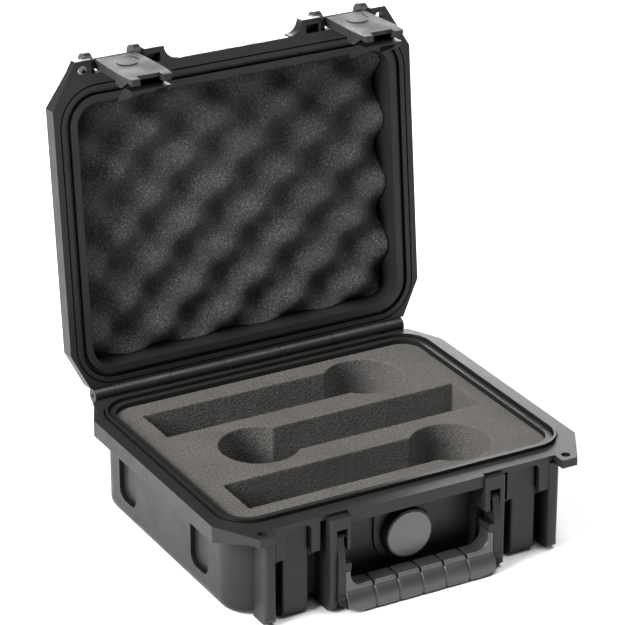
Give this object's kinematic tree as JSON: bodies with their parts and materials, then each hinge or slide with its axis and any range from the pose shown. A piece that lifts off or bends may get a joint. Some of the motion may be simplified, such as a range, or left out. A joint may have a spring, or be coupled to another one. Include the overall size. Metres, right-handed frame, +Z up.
{
  "type": "equipment case",
  "caption": "Hard carrying case, open, with a hinged lid, two trigger latches, a fold-down handle, a pressure valve, waved lid foam and a die-cut foam insert with pockets for microphones.",
  "frame": {"origin": "on the surface that the case stands on, under the middle of the tub", "axes": "+Z up, -Y towards the front with the handle and latches, +X to the right of someone who faces that front"},
  "size_m": [0.275, 0.2975, 0.3098],
  "materials": {
    "shell_plastic": "fine textured",
    "latch_plastic": "satin",
    "trigger_plastic": "glossy",
    "badge_plastic": "satin",
    "base_foam": "open cell foam",
    "lid_foam": "open cell foam, waved",
    "grip_rubber": "smooth",
    "seal_rubber": "matte",
    "valve_cap_plastic": "satin",
    "valve_plastic": "matte",
    "membrane": "matte",
    "pin_steel": "brushed",
    "spring_steel": "drawn wire"
  },
  "bodies": {
    "base": {"base_shell": "shell_plastic", "base_foam_insert": "base_foam", "base_foam_pad": "base_foam", "hinge_pin": "pin_steel", "valve_body": "valve_plastic", "valve_cap": "valve_cap_plastic", "valve_membrane": "membrane", "valve_oring": "seal_rubber", "valve_nut": "valve_plastic", "handle_pin_left": "pin_steel", "handle_pin_right": "pin_steel"},
    "handle": {"handle_frame": "shell_plastic", "handle_grip": "grip_rubber"},
    "lid": {"lid_shell": "shell_plastic", "lid_foam": "lid_foam", "lid_seal": "seal_rubber", "latch_pin_left": "pin_steel", "latch_pin_right": "pin_steel"},
    "latch_left": {"latch_body_left": "latch_plastic", "latch_badge_left": "badge_plastic", "trigger_pin_left": "pin_steel", "trigger_spring_left": "spring_steel"},
    "latch_right": {"latch_body_right": "latch_plastic", "latch_badge_right": "badge_plastic", "trigger_pin_right": "pin_steel", "trigger_spring_right": "spring_steel"},
    "trigger_left": {"latch_trigger_left": "trigger_plastic"},
    "trigger_right": {"latch_trigger_right": "trigger_plastic"}
  },
  "joints": [
    {"name": "lid_hinge", "type": "hinge", "parent": "base", "child": "lid", "pos_m": [0, 0.113, 0.0728], "axis": [1, 0, 0], "range_deg": [0, 95.2]},
    {"name": "handle_swing", "type": "hinge", "parent": "base", "child": "handle", "pos_m": [0, -0.114, 0.053], "axis": [1, 0, 0], "range_deg": [-95, 0]},
    {"name": "latch_left_pivot", "type": "hinge", "parent": "lid", "child": "latch_left", "pos_m": [-0.088, 0.1434, 0.30199], "axis": [1, 0, 0], "range_deg": [-100, 0]},
    {"name": "trigger_left_pivot", "type": "hinge", "parent": "latch_left", "child": "trigger_left", "pos_m": [-0.088, 0.10131, 0.30075], "axis": [1, 0, 0], "range_deg": [-9, 0], "stiffness_Nm_per_rad": 0.12, "springref_deg": 11.46},
    {"name": "latch_right_pivot", "type": "hinge", "parent": "lid", "child": "latch_right", "pos_m": [0.088, 0.1434, 0.30199], "axis": [1, 0, 0], "range_deg": [-100, 0]},
    {"name": "trigger_right_pivot", "type": "hinge", "parent": "latch_right", "child": "trigger_right", "pos_m": [0.088, 0.10131, 0.30075], "axis": [1, 0, 0], "range_deg": [-9, 0], "stiffness_Nm_per_rad": 0.12, "springref_deg": 11.46}
  ]
}
